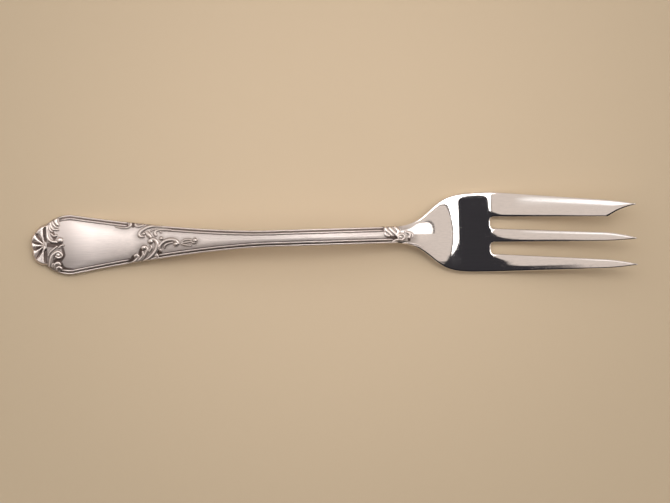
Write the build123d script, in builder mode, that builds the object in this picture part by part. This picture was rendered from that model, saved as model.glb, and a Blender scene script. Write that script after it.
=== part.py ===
"""Three-tined pastry fork with a shell-and-scroll handle, lying face up.

X runs from the handle end to the tine tips, Y to the side of the wide cutting tine, and Z up from
the table. The origin is on the table, under the middle of the fork's length.
"""

import os
from math import cos, pi, radians, sin, sqrt, tanh

from build123d import *

# Lengths along the fork
handle_length = 93.5  # handle end to the neck joint
neck_length = 20.0  # neck joint to the lowest point of the head
root_setback = 4.2  # lowest point of the head to the roots of the tines
tine_length = 37.3  # roots to tips

# Widths across the handle
panel_width = 15.4  # at the widest place of the handle's plain panel
panel_peak = 10.6  # handle end to that widest place
panel_taper = 50.0  # widest place to where the stem runs parallel
end_fullness = 2.4  # power of the curve round the handle end
taper_fullness = 1.6  # power of the curve from panel to stem
stem_width = 4.35

# Widths across the head, from the cutting tine to the outer tine
cutting_tine_width = 6.45
middle_tine_width = 3.6
outer_tine_width = 4.7
slot_width = 2.9
slot_root_radius = 0.9

# Where the tines narrow, and where their tips stand across the fork
tine_shoulder = 9.2  # tips back to the shoulders of the tines
cutting_shoulder = (2.95, 7.5)  # inner edge at the notch and outer edge at the shoulder
middle_shoulder = (-3.25, -0.85)
outer_shoulder = (-10.25, -7.75)
cutting_tip = 5.95
middle_tip = -2.75
outer_tip = -9.45
tip_width = 0.3
notch_length = 7.3  # tip of the cutting tine back to the start of its notch
notch_entry = 0.65  # how steeply the notch starts
notch_slope = 0.15  # how steeply the notch runs out at the tip

# The flare from neck to head
flare_middle = 8.8  # neck joint to the steepest place of the flare
flare_run = 4.8

# Side profile: the back rests under the handle end and under the head
rest_length = 11.5  # handle end to where the back leaves the table
arch_height = 8.5  # back above the table at the crest of the stem
crest_setback = 24.0  # neck joint back to the crest
tip_rise = 9.0  # back above the table at the tine tips
bowl_softness = 7.0  # larger is a rounder bend under the head
rest_flat = 0.06  # depth taken off where the back rests

# Thickness of the metal
end_thickness = 1.8
stem_thickness = 2.5
neck_thickness = 2.9
head_thickness = 1.9
tip_thickness = 1.0
edge_bevel = 0.35  # how far the bevelled edges stand in
edge_bevel_share = 0.3  # part of the thickness that each bevel takes
panel_crown = 0.6
stem_crown = 0.4
head_crown = 0.2
crown_facets = 6

# Shell at the handle end
shell_radius = 4.2  # hub to the tip of the middle lobe, which is the end of the handle
shell_lobes = 5
scallop_depth = 0.35
shell_relief = 0.35  # ribs above the handle's face
flute_radius = 0.8  # at the rim
flute_root_radius = 0.15
shell_bevel = 0.5  # height of the bevel round the shell's foot
shell_bevel_angle = 35.0

# Raised threads along the handle's edges
outer_thread_width = 0.62
inner_thread_width = 0.5
thread_height = 0.3
outer_thread_inset = 0.5  # edge of the handle to the middle of the thread
inner_thread_inset = 1.2
thread_steps = 12
thread_start = 7.6  # handle end to the first threads
waist = 28.0  # handle end to the ornament at the waist, where the threads part
waist_before = 3.3
waist_after = 5.7
neck_ornament = 3.4  # stem threads' end to the neck joint

# Raised tendrils and leaves
seat_gap = 0.05  # between a raised piece and the face that it lies on
tendril_steps = 3  # slices from one point of a tendril to the next
ridge_height_share = 0.45  # height of a tendril as a share of its width
flank_reach = 0.3  # top of a ridge's flank from its middle, as a share of its width
flank_rise = 0.8  # height there, as a share of the ridge's height
neck_leaf_start = 2.9  # first fold of the wrapped leaf to the neck joint
neck_leaf_folds = 3
neck_leaf_pitch = 0.95

# Derived places
overall_length = handle_length + neck_length + root_setback + tine_length
x_end = -overall_length / 2
x_shell = x_end + shell_radius
x_neck = x_end + handle_length
x_bowl = x_neck + neck_length
x_root = x_bowl + root_setback
x_tip = x_root + tine_length
x_shoulder = x_tip - tine_shoulder
x_notch = x_tip - notch_length
x_crest = x_neck - crest_setback
x_rest = x_end + rest_length
x_peak = x_end + panel_peak
x_stem = x_peak + panel_taper
x_clear = x_tip + tip_width
clear_height = tip_rise + head_thickness + head_crown
head_width = cutting_tine_width + middle_tine_width + outer_tine_width + 2 * slot_width
head_half = head_width / 2
stem_half = stem_width / 2
panel_half = panel_width / 2
half_tip = tip_width / 2
panel_thread_span = (thread_start, waist - waist_before)
stem_thread_span = (waist + waist_after, handle_length - neck_ornament)


def along(x, stations):
    """Straight-line value at x between (place, value) stations."""
    for (x0, v0), (x1, v1) in zip(stations, stations[1:]):
        if x <= x1:
            return v0 + (v1 - v0) * max(0.0, (x - x0) / (x1 - x0))
    return stations[-1][1]


def eased(x, stations):
    """Like along, with a level run at every station."""
    for (x0, v0), (x1, v1) in zip(stations, stations[1:]):
        if x <= x1:
            return v0 + (v1 - v0) * (1 - cos(pi * max(0.0, (x - x0) / (x1 - x0)))) / 2
    return stations[-1][1]


def back(x):
    """Height of the fork's back above the table, a little under it where the back rests."""
    if x < x_rest:
        height = 0.0
    elif x < x_crest:
        height = arch_height * (1 - cos(pi * (x - x_rest) / (x_crest - x_rest))) / 2
    elif x < x_bowl:
        height = arch_height * (1 + cos(pi * (x - x_crest) / (x_bowl - x_crest))) / 2
    else:
        reach = sqrt(1 + ((x_tip - x_bowl) / bowl_softness) ** 2) - 1
        height = tip_rise * (sqrt(1 + ((x - x_bowl) / bowl_softness) ** 2) - 1) / reach
    return height - rest_flat


def thickness(x):
    """Thickness of the metal at its edges."""
    return eased(
        x,
        [
            (x_end, end_thickness),
            (x_crest, stem_thickness),
            (x_neck, neck_thickness),
            (x_bowl, head_thickness),
            (x_root, head_thickness),
            (x_tip, tip_thickness),
        ],
    )


def crown(x):
    """How much higher the face stands in the middle than at its edges."""
    return eased(
        x,
        [
            (x_end, panel_crown),
            (x_stem, stem_crown),
            (x_neck, stem_crown),
            (x_bowl, head_crown),
            (x_tip, head_crown),
        ],
    )


def handle_half(x):
    """Half the handle's width: a rounded end, a tapering panel and a parallel stem."""
    if x < x_peak:
        return panel_half * (1 - ((x_peak - x) / panel_peak) ** end_fullness)
    left = max(0.0, 1 - (x - x_peak) / panel_taper)
    return stem_half + (panel_half - stem_half) * left**taper_fullness


def flare_half(x):
    """Half the width of the neck and shoulders, an S-curve from the stem out to the head."""
    start = tanh(-flare_middle / flare_run)
    rise = (tanh((x - x_neck - flare_middle) / flare_run) - start) / (1 - start)
    return stem_half + (head_half - stem_half) * rise


def half_width(x):
    """Half the width of the handle or of the neck beyond it."""
    return handle_half(x) if x < x_neck else flare_half(x)


def on_face(reach, share):
    """Point on the crowned face, at a distance from the handle end and a share of the half width."""
    x = x_end + reach
    half = half_width(x)
    crown_share = min(1.0, abs(share) * half / (half - edge_bevel))
    return Vector(x, share * half, back(x) + thickness(x) + crown(x) * (1 - crown_share**2))


def cross_section(x, low, high):
    """One slice across the metal: flat back, bevelled edges and a crowned face."""
    foot = back(x)
    face = foot + thickness(x)
    bevel = thickness(x) * edge_bevel_share
    left, right = low + edge_bevel, high - edge_bevel
    outline = [(left, foot), (right, foot), (high, foot + bevel), (high, face - bevel)]
    for facet in range(crown_facets + 1):
        turn = 1 - 2 * facet / crown_facets
        outline.append(((left + right + turn * (right - left)) / 2, face + crown(x) * (1 - turn**2)))
    outline += [(low, face - bevel), (low, foot + bevel)]
    with BuildSketch(Plane.YZ.offset(x)) as slice_across:
        with BuildLine():
            Polyline(*outline, close=True)
        make_face()
    return slice_across.sketch


def ridge(place, heading, level, width, height):
    """One slice across a raised line: a flat foot on the face and a crest with sloping flanks."""
    plane = Plane(place + level * seat_gap, x_dir=heading.cross(level) * -1, z_dir=heading)
    with BuildSketch(plane) as slice_across:
        with BuildLine():
            Polyline(
                (-width / 2, 0),
                (width / 2, 0),
                (width * flank_reach, height * flank_rise),
                (0, height),
                (-width * flank_reach, height * flank_rise),
                close=True,
            )
        make_face()
    return slice_across.sketch


def raised_line(route, widths, steps, height=None):
    """Slices along a route over the face, given as a function of 0 to 1 into reach and share.

    The widths are spread evenly from the line's start to its end.
    """
    nudge = 0.001
    stations = [(number / (len(widths) - 1), width) for number, width in enumerate(widths)]
    slices = []
    for step in range(steps + 1):
        t = step / steps
        reach, share = route(t)
        lengthwise = on_face(reach + nudge, share) - on_face(reach - nudge, share)
        crosswise = on_face(reach, share + nudge) - on_face(reach, share - nudge)
        level = lengthwise.cross(crosswise).normalized()
        heading = on_face(*route(t + nudge)) - on_face(*route(t - nudge))
        heading = (heading - level * heading.dot(level)).normalized()
        width = along(t, stations)
        rise = height or width * ridge_height_share
        slices.append(ridge(on_face(reach, share), heading, level, width, rise))
    return slices


def thread(side, inset, width, span):
    """Slices of one thread, which follows the handle's edge at a steady inset."""

    def route(t):
        reach = span[0] + (span[1] - span[0]) * t
        return reach, side * (1 - inset / handle_half(x_end + reach))

    return raised_line(route, [width, width], thread_steps, thread_height)


def tendril(start, points, widths):
    """Loft one tendril through points, counted from the start in reach and share."""
    reaches = [start + reach for reach, share in points]
    offsets = [share * half_width(x_end + start + reach) for reach, share in points]
    line = Spline(*zip(reaches, offsets))

    def route(t):
        place = line @ t
        return place.X, place.Y / half_width(x_end + place.X)

    return loft(raised_line(route, widths, tendril_steps * (len(points) - 1)), ruled=True)


# Handle: panel, taper and stem in one piece of metal, flat on the table under its end
handle_steps = 24
with BuildPart() as handle:
    places = [x_shell + (x_neck - x_shell) * step / handle_steps for step in range(handle_steps + 1)]
    loft([cross_section(x, -handle_half(x), handle_half(x)) for x in places])
    split(bisect_by=Plane.XY, keep=Keep.TOP)
handle.part.label = "handle"

# Head: neck, shoulders and tines in one piece, with the slots cut through between the tines
flare_steps = 8
tine_steps = 9
cutting_root = head_half - cutting_tine_width
middle_root_high = cutting_root - slot_width
middle_root_low = middle_root_high - middle_tine_width
outer_root = middle_root_low - slot_width
cutting_side = [(x_root, head_half), (x_shoulder, cutting_shoulder[1]), (x_tip, cutting_tip + half_tip)]
outer_side = [(x_root, -head_half), (x_shoulder, outer_shoulder[0]), (x_tip, outer_tip - half_tip)]
with BuildPart() as fork_head:
    flare_places = [x_neck + neck_length * step / flare_steps for step in range(flare_steps + 1)]
    tine_places = [x_root + tine_length * step / tine_steps for step in range(tine_steps + 1)]
    slices = [cross_section(x, -flare_half(x), flare_half(x)) for x in flare_places]
    slices += [cross_section(x, along(x, outer_side), along(x, cutting_side)) for x in tine_places]
    loft(slices)
    split(bisect_by=Plane.XY, keep=Keep.TOP)
    with BuildSketch() as cutting_slot:
        with BuildLine():
            run = Line((x_root, cutting_root), (x_notch, cutting_shoulder[0]))
            notch_end = (x_tip, cutting_tip - half_tip)
            Spline(run @ 1, notch_end, tangents=[(1, notch_entry), (1, notch_slope)])
            far_run = Line((x_root, middle_root_high), (x_shoulder, middle_shoulder[1]))
            far_bend = TangentArc(far_run @ 1, (x_tip, middle_tip + half_tip), tangent=far_run % 1)
            Polyline(notch_end, (x_clear, cutting_tip), (x_clear, middle_tip), far_bend @ 1)
            Line(run @ 0, far_run @ 0)
        make_face()
        fillet(cutting_slot.vertices().group_by(Axis.X)[0], slot_root_radius)
    extrude(amount=clear_height, mode=Mode.SUBTRACT)
    with BuildSketch() as outer_slot:
        with BuildLine():
            run = Line((x_root, middle_root_low), (x_shoulder, middle_shoulder[0]))
            bend = TangentArc(run @ 1, (x_tip, middle_tip - half_tip), tangent=run % 1)
            far_run = Line((x_root, outer_root), (x_shoulder, outer_shoulder[1]))
            far_bend = TangentArc(far_run @ 1, (x_tip, outer_tip + half_tip), tangent=far_run % 1)
            Polyline(bend @ 1, (x_clear, middle_tip), (x_clear, outer_tip), far_bend @ 1)
            Line(run @ 0, far_run @ 0)
        make_face()
        fillet(outer_slot.vertices().group_by(Axis.X)[0], slot_root_radius)
    extrude(amount=clear_height, mode=Mode.SUBTRACT)
fork_head.part.label = "fork_head"

# Shell: a scalloped fan that ends the handle, with conical flutes between its ribs
shell_half = handle_half(x_shell)
shell_top = back(x_shell) + thickness(x_shell) + shell_relief


def rim_point(turn, depth):
    """Point on the shell's rim, where turn runs from -90 to 90 degrees across the end."""
    angle = radians(turn)
    spread = shell_radius + (shell_half - shell_radius) * sin(angle) ** 2 - depth
    return x_shell - spread * cos(angle), spread * sin(angle)


valley_turns = [-90 + 180 * valley / shell_lobes for valley in range(shell_lobes + 1)]
with BuildPart() as terminal_shell:
    with BuildSketch(Plane.XY.offset(shell_bevel)) as fan:
        with BuildLine():
            for low_turn, high_turn in zip(valley_turns, valley_turns[1:]):
                ThreePointArc(
                    rim_point(low_turn, scallop_depth),
                    rim_point((low_turn + high_turn) / 2, 0),
                    rim_point(high_turn, scallop_depth),
                )
            Line(rim_point(-90, scallop_depth), rim_point(90, scallop_depth))
        make_face()
    extrude(amount=shell_top - shell_bevel)
    extrude(fan.sketch, amount=-shell_bevel, taper=shell_bevel_angle)
    for turn in valley_turns[1:-1]:
        rim_x, rim_y = rim_point(turn, 0)
        hub = Vector(x_shell, 0, shell_top + flute_root_radius)
        run_out = Vector(rim_x, rim_y, shell_top) - hub
        with BuildSketch(Plane(hub, x_dir=run_out, z_dir=(sin(radians(turn)), cos(radians(turn)), 0))):
            with BuildLine():
                reach = run_out.length
                Polyline((0, 0), (reach, 0), (reach, flute_radius), (0, flute_root_radius), close=True)
            make_face()
        revolve(axis=Axis(hub, run_out), mode=Mode.SUBTRACT)
terminal_shell.part.label = "terminal_shell"
pieces = [handle, fork_head, terminal_shell]


# Double threads along both edges of the panel and of the stem
def thread_pair(name, side, span):
    """The outer and inner thread of one edge."""
    with BuildPart() as pair:
        loft(thread(side, outer_thread_inset, outer_thread_width, span))
        loft(thread(side, inner_thread_inset, inner_thread_width, span))
    pair.part.label = name
    return pair


pieces.append(thread_pair("upper_panel_threads", 1, panel_thread_span))
pieces.append(thread_pair("lower_panel_threads", -1, panel_thread_span))
pieces.append(thread_pair("upper_stem_threads", 1, stem_thread_span))
pieces.append(thread_pair("lower_stem_threads", -1, stem_thread_span))

# Scrolls that flank the shell, each a curled C with small lobes at the panel's shoulder
with BuildPart() as upper_shell_scroll:
    curl = [(4.7, 0.85), (4.7, 0.62), (5.0, 0.37), (5.7, 0.19), (6.9, 0.13), (7.7, 0.2), (7.4, 0.28)]
    tendril(0.0, curl, (0.4, 0.6, 0.7, 0.7, 0.6, 0.6))
    tendril(0.0, [(5.4, 0.88), (5.6, 0.74), (6.2, 0.6)], (0.5, 0.7, 0.4))
    tendril(0.0, [(6.4, 0.88), (6.6, 0.76), (7.2, 0.64)], (0.5, 0.7, 0.4))
upper_shell_scroll.part.label = "upper_shell_scroll"
pieces.append(upper_shell_scroll)

with BuildPart() as lower_shell_scroll:
    curl = [(4.8, -0.77), (4.9, -0.55), (5.3, -0.36), (6.1, -0.23), (7.1, -0.2), (7.9, -0.27), (7.5, -0.37)]
    tendril(0.0, curl, (0.4, 0.6, 0.7, 0.7, 0.6, 0.6))
    tendril(0.0, [(5.6, -0.71), (6.0, -0.8), (6.7, -0.86)], (0.5, 0.7, 0.4))
lower_shell_scroll.part.label = "lower_shell_scroll"
pieces.append(lower_shell_scroll)

# Ornament at the waist: a C-scroll on one edge, curling leaves on the other
with BuildPart() as waist_scroll:
    curl = [(5.4, 0.86), (4.4, 0.88), (2.3, 0.84), (0.8, 0.69), (0.0, 0.52), (0.2, 0.37), (1.1, 0.36)]
    tendril(waist, curl, (0.4, 0.6, 0.7, 0.75, 0.7, 0.6, 0.5))
    tendril(waist, [(5.4, 0.66), (4.6, 0.65), (4.1, 0.55), (4.3, 0.44)], (0.4, 0.5, 0.5, 0.4))
    tendril(waist, [(-2.4, 0.87), (-1.0, 0.84), (0.4, 0.88)], (0.4, 0.7, 0.4))
waist_scroll.part.label = "waist_scroll"
pieces.append(waist_scroll)

with BuildPart() as waist_leaves:
    long_leaf = [(-0.3, -0.88), (1.6, -0.74), (3.2, -0.47), (4.1, -0.17), (4.0, 0.09), (3.0, 0.15)]
    tendril(waist, long_leaf, (0.4, 0.8, 0.9, 0.8, 0.7, 0.6))
    middle_leaf = [(-1.5, -0.88), (0.0, -0.7), (1.1, -0.48), (1.5, -0.3), (0.6, -0.21)]
    tendril(waist, middle_leaf, (0.4, 0.7, 0.75, 0.65, 0.5))
    short_leaf = [(-2.8, -0.88), (-1.8, -0.79), (-0.9, -0.66), (-0.8, -0.56), (-1.4, -0.52)]
    tendril(waist, short_leaf, (0.4, 0.6, 0.6, 0.45, 0.4))
waist_leaves.part.label = "waist_leaves"
pieces.append(waist_leaves)

with BuildPart() as stem_spray:
    arch = [(5.0, -0.41), (5.2, -0.15), (6.2, 0.08), (7.3, 0.21), (8.6, 0.17), (9.4, 0.0)]
    tendril(waist, arch, (0.4, 0.6, 0.7, 0.7, 0.7, 0.6))
    tendril(waist, [(10.3, 0.04), (12.2, 0.16), (14.0, 0.08)], (0.3, 0.6, 0.8))
    tendril(waist, [(10.3, -0.12), (12.2, -0.2), (13.4, -0.3)], (0.3, 0.6, 0.4))
stem_spray.part.label = "stem_spray"
pieces.append(stem_spray)

# Ornament at the neck: a wrapped leaf on the stem's end and a volute where the head begins
with BuildPart() as neck_leaf:
    for fold in range(neck_leaf_folds):
        shift = handle_length - neck_leaf_start + neck_leaf_pitch * fold
        tendril(shift, [(0.0, 0.78), (0.5, 0.4), (1.2, 0.06)], (0.4, 0.7, 0.5))
neck_leaf.part.label = "neck_leaf"
pieces.append(neck_leaf)

with BuildPart() as neck_volute:
    coil = [(0.5, -0.75), (0.5, -0.38), (1.3, 0.01), (2.3, -0.05), (2.6, -0.36), (1.7, -0.45)]
    tendril(handle_length, coil, (0.4, 0.55, 0.6, 0.6, 0.55, 0.5))
neck_volute.part.label = "neck_volute"
pieces.append(neck_volute)

os.makedirs("parts", exist_ok=True)
for piece in pieces:
    export_step(piece.part, f"parts/{piece.part.label}.step")
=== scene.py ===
"""Looks of a silver pastry fork, built as mesh pieces around the fork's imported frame.

X runs from the handle end to the tine tips, Y to the side of the wide cutting tine, Z up from the
table, and every length is in metres unless a name or comment says millimetres.
"""

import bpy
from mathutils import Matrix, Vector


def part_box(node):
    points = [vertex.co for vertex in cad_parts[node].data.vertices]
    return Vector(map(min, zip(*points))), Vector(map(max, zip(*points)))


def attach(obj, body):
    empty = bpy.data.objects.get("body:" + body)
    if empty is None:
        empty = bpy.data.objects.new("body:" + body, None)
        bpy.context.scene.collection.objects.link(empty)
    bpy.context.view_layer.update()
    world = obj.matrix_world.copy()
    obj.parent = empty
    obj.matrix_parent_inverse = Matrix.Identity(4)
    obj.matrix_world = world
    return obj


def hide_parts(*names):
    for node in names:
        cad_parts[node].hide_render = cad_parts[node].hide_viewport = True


bl_info = {
    "name": "Pastry Fork",
    "version": (1, 0, 0),
    "blender": (4, 5, 0),
    "location": "3D View > Sidebar > Fork",
    "description": "Silver pastry fork with a shell-and-scroll handle, and the table that it lies on",
    "category": "Add Mesh",
}

from math import atan2, pi, radians

import bmesh
import bpy
import numpy as np
from bpy.props import FloatProperty, FloatVectorProperty, IntProperty, PointerProperty

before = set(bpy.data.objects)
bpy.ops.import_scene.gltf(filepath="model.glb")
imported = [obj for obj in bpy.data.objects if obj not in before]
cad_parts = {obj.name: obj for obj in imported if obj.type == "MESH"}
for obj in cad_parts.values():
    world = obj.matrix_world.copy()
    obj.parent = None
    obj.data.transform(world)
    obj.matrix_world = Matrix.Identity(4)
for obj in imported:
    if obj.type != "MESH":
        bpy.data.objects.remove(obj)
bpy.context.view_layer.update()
MM = 0.001
# A distance that stands for nothing near, and the two directions of a smooth step
FAR = 1.0
RISE = (0.0, 1.0)
FALL = (1.0, 0.0)
# Numbers of a Mix node's colour sockets, whose names it shares with other sockets
MIX_FACTOR, MIX_FIRST, MIX_SECOND, MIX_RESULT = 0, 6, 7, 2

# Places along the fork, from the frame
X_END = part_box("terminal_shell")[0].x
X_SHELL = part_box("terminal_shell")[1].x
X_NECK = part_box("fork_head")[0].x
X_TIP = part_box("fork_head")[1].x
PANEL_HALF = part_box("handle")[1].y
SHELL_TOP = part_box("terminal_shell")[1].z

# Raised lines in millimetres: reach from the handle end and offset from the fork's middle line,
# then the line's widths, spread evenly from its start to its end. One point makes a bead.
UPPER_SHELL_LINES = (
    (
        ((4.3, 5.05), (4.15, 3.85), (4.25, 2.65), (4.65, 1.6), (5.5, 0.95), (6.65, 0.75)),
        (0.5, 0.6, 0.6, 0.5),
    ),
    (((7.6, 1.2),), (1.2,)),
    (((4.85, 5.1), (5.0, 4.3), (5.3, 3.75), (5.7, 3.6)), (0.3, 0.4, 0.4, 0.3)),
    (((5.2, 5.8), (5.4, 4.8), (5.95, 4.05), (7.1, 3.95)), (0.45, 0.5, 0.45, 0.45)),
    (((5.7, 6.1), (6.0, 5.35), (6.5, 4.7), (7.05, 4.55)), (0.4, 0.5, 0.4, 0.35)),
    (((6.75, 6.8), (6.6, 6.1), (6.95, 5.4), (7.25, 5.15)), (0.6, 0.75, 0.65, 0.5)),
    (((5.9, 2.35), (6.85, 2.4)), (0.35, 0.35)),
    (((5.25, 3.05), (5.75, 2.55)), (0.3, 0.3)),
)
LOWER_SHELL_LINES = (
    (((4.5, -2.7), (4.75, -2.05), (5.35, -1.35), (6.2, -0.75), (6.7, -0.4)), (0.25, 0.35, 0.4, 0.4)),
    (((7.3, -0.7), (7.75, -0.25), (8.3, -0.1)), (0.4, 0.45, 0.45)),
    (
        (
            (4.8, -5.3), (5.05, -4.2), (5.3, -3.1), (5.95, -2.2), (6.9, -1.8),
            (7.65, -2.15), (7.9, -2.75), (7.55, -3.2), (6.9, -3.25), (6.35, -2.9),
        ),
        (0.65, 0.7, 0.65, 0.6, 0.55, 0.5, 0.45, 0.4),
    ),
    (((6.95, -2.55),), (0.85,)),
    (((5.65, -4.8), (5.45, -5.45)), (0.45, 0.45)),
    (
        ((6.0, -5.75), (6.15, -5.15), (6.55, -4.75), (7.05, -4.7), (7.35, -5.0)),
        (0.45, 0.6, 0.75, 0.7, 0.55),
    ),
    (((6.5, -6.35), (6.65, -5.9), (7.1, -5.7), (7.65, -6.0)), (0.45, 0.55, 0.6, 0.5)),
)
WAIST_SCROLL_LINES = (
    (
        ((22.0, 4.3), (23.6, 3.95), (24.8, 3.9), (25.45, 4.2), (25.8, 4.6), (25.85, 5.1)),
        (0.2, 0.35, 0.45, 0.45),
    ),
    (((27.05, 4.9), (27.05, 4.5), (27.5, 4.2), (28.25, 4.25), (29.0, 4.5)), (0.45, 0.5, 0.5, 0.4)),
    (
        (
            (33.65, 3.98), (31.85, 4.15), (30.2, 3.9), (28.9, 3.25),
            (28.1, 2.55), (27.9, 2.0), (28.2, 1.55), (28.9, 1.5),
        ),
        (0.5, 0.65, 0.65, 0.65, 0.6, 0.5, 0.45),
    ),
    (((29.05, 2.2),), (0.6,)),
    (((29.75, 2.6), (30.3, 1.9), (30.8, 1.35)), (0.6, 0.9, 0.6)),
    (((31.05, 2.85), (31.45, 3.15), (32.15, 3.35)), (0.25, 0.3, 0.25)),
    (
        ((32.15, 1.8), (31.9, 2.25), (32.2, 2.85), (33.1, 3.1), (34.35, 3.1), (36.0, 3.0)),
        (0.5, 0.5, 0.45, 0.42),
    ),
    (((33.45, 2.55),), (0.4,)),
    (((33.5, 0.9),), (0.65,)),
)
WAIST_LEAF_LINES = (
    (
        (
            (28.9, -4.65), (30.3, -4.05), (31.4, -3.1), (32.15, -2.05), (32.45, -1.0),
            (32.3, 0.0), (31.7, 0.65), (31.0, 0.65), (30.5, 0.25),
        ),
        (0.4, 0.65, 0.8, 0.8, 0.75, 0.7, 0.65, 0.55),
    ),
    (((30.75, 0.25),), (1.0,)),
    (
        ((27.9, -4.75), (28.85, -3.9), (29.45, -2.9), (29.8, -2.0), (29.6, -1.3), (29.0, -1.05)),
        (0.35, 0.5, 0.55, 0.5),
    ),
    (((28.9, -1.4),), (0.95,)),
    (((26.95, -4.95), (28.0, -4.25), (28.7, -3.35), (28.65, -2.4)), (0.35, 0.5, 0.5, 0.35)),
    (((30.85, -0.9), (30.9, -1.6), (30.35, -2.4)), (0.35, 0.45, 0.3)),
    (((30.25, -1.45), (30.2, -2.2)), (0.3, 0.3)),
    (((25.2, -5.2), (26.3, -4.9), (27.15, -4.25), (27.45, -3.6), (27.05, -3.15)), (0.35, 0.6, 0.65, 0.6)),
    (((26.85, -3.45),), (0.85,)),
    (((29.5, -4.65), (30.8, -4.4), (31.95, -4.1), (32.4, -3.7), (32.2, -3.3)), (0.35, 0.5, 0.6, 0.6)),
    (((32.0, -3.5),), (0.7,)),
)
STEM_SPRAY_LINES = (
    (
        (
            (33.3, -2.2), (32.95, -1.8), (33.3, -0.85), (34.25, 0.05),
            (35.45, 0.45), (36.55, 0.45), (37.4, 0.05), (37.7, -0.5),
        ),
        (0.5, 0.6, 0.7, 0.7, 0.7, 0.6),
    ),
    (((37.25, -0.7),), (0.8,)),
    (((34.3, -1.45), (34.45, -0.95), (35.25, -0.45), (36.35, -0.2)), (0.3, 0.4, 0.4, 0.3)),
    (((38.75, -0.2), (39.4, 0.25), (40.4, 0.4), (41.4, 0.2)), (0.3, 0.35, 0.35, 0.3)),
    (((38.7, -0.4), (39.9, -0.3), (41.2, -0.15)), (0.25, 0.35, 0.25)),
    (((38.7, -0.65), (39.8, -1.0), (41.0, -1.1)), (0.25, 0.35, 0.25)),
    (((42.15, 0.15),), (0.8,)),
    (((41.2, -0.2), (41.75, -0.5), (42.3, -0.35)), (0.25, 0.3, 0.25)),
)
NECK_LEAF_LINES = (
    (((90.9, 1.8), (91.25, 1.15), (91.9, 0.5), (92.35, -0.1)), (0.55, 0.65, 0.6, 0.5)),
    (((90.75, 0.6), (91.0, -0.05), (91.7, -0.2)), (0.45, 0.55, 0.45)),
    (((92.0, 1.8), (92.55, 1.1), (93.15, 0.45), (93.6, -0.15)), (0.55, 0.7, 0.65, 0.5)),
    (((93.3, 1.85), (93.9, 1.3), (94.15, 0.75), (93.85, 0.1)), (0.6, 0.7, 0.65, 0.5)),
)
NECK_VOLUTE_LINES = (
    (
        (
            (94.05, -0.9), (94.0, -0.4), (94.5, 0.05), (95.2, 0.05),
            (95.6, -0.45), (95.55, -1.0), (95.0, -1.35), (94.4, -1.25),
        ),
        (0.35, 0.4, 0.4, 0.35),
    ),
    (((94.65, -0.65),), (0.7,)),
    (((95.95, 0.65), (96.75, 0.35), (97.1, -0.25), (96.85, -0.85)), (0.35, 0.45, 0.45, 0.35)),
    (((97.0, 0.5), (97.65, -0.05), (97.65, -0.8)), (0.25, 0.35, 0.25)),
    (((92.75, -1.6), (93.75, -1.3), (94.55, -1.25)), (0.35, 0.35, 0.25)),
)
ORNAMENTS = {
    "upper_shell_scroll": UPPER_SHELL_LINES,
    "lower_shell_scroll": LOWER_SHELL_LINES,
    "waist_scroll": WAIST_SCROLL_LINES,
    "waist_leaves": WAIST_LEAF_LINES,
    "stem_spray": STEM_SPRAY_LINES,
    "neck_leaf": NECK_LEAF_LINES,
    "neck_volute": NECK_VOLUTE_LINES,
}
BRIGHT_ORNAMENTS = ("neck_leaf", "neck_volute")
# Low ridges that run out over the polished shoulder, with no tarnish beside them
SHOULDER_RIDGES = (
    (
        ((95.15, -2.35), (96.1, -2.25), (97.85, -2.45), (99.15, -2.85), (100.25, -3.4)),
        (0.3, 0.4, 0.35, 0.2),
    ),
    (((96.9, -2.65), (98.5, -2.95), (100.05, -3.6)), (0.2, 0.25, 0.15)),
)
# Sunk ground between the raised lines, which only the tarnish shows
GROUND_LINES = (
    (((4.6, 0.1), (5.6, 0.1), (6.8, 0.1), (7.6, 0.2)), (0.7, 0.9, 0.6)),
    (((5.6, 3.2), (6.2, 1.8)), (0.7, 0.6)),
    (((8.2, -0.9), (8.5, -2.6), (7.6, -3.9), (6.4, -4.1)), (0.3, 0.3, 0.8)),
    (((7.8, -4.7), (8.15, -5.6), (9.2, -6.2), (11.2, -6.4)), (0.3, 0.4, 0.3, 0.1)),
    (((26.4, 4.9), (26.4, 4.3)), (0.5, 0.5)),
    (((25.6, -4.7), (26.2, -3.6)), (0.5, 0.5)),
    (((27.9, -3.1), (28.2, -1.9)), (0.5, 0.5)),
    (((32.9, -2.5), (33.2, -3.0)), (0.6, 0.6)),
    (((35.2, 0.05), (36.6, 0.1)), (0.3, 0.3)),
    (((91.6, -0.85), (93.6, -0.85)), (0.6, 0.6)),
    (((96.8, -1.4),), (0.5,)),
)
# Each pair of threads: its node, its side of the handle, then where the outer and the inner one run
THREADS = {
    "upper_panel_threads": (1, (7.2, 25.3), (7.6, 25.0)),
    "lower_panel_threads": (-1, (7.2, 25.6), (7.6, 25.3)),
    "upper_stem_threads": (1, (33.0, 90.5), (35.4, 90.3)),
    "lower_stem_threads": (-1, (29.8, 94.0), (32.6, 92.9)),
}


def length(name, description, default):
    """A size in metres that a user may change."""
    return FloatProperty(name=name, description=description, default=default, unit="LENGTH", precision=5)


def share(name, description, default):
    """A plain number that a user may change."""
    return FloatProperty(name=name, description=description, default=default, precision=3)


def count_of(name, description, default):
    """A whole number that a user may change."""
    return IntProperty(name=name, description=description, default=default)


def places_across(name, description, default):
    """Places across the fork, in metres, that a user may change."""
    return FloatVectorProperty(
        name=name, description=description, default=default, size=len(default), unit="LENGTH", precision=5
    )


def colour(name, description, default):
    """A colour that a user may change."""
    return FloatVectorProperty(name=name, description=description, default=default, subtype="COLOR", size=3)


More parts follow.
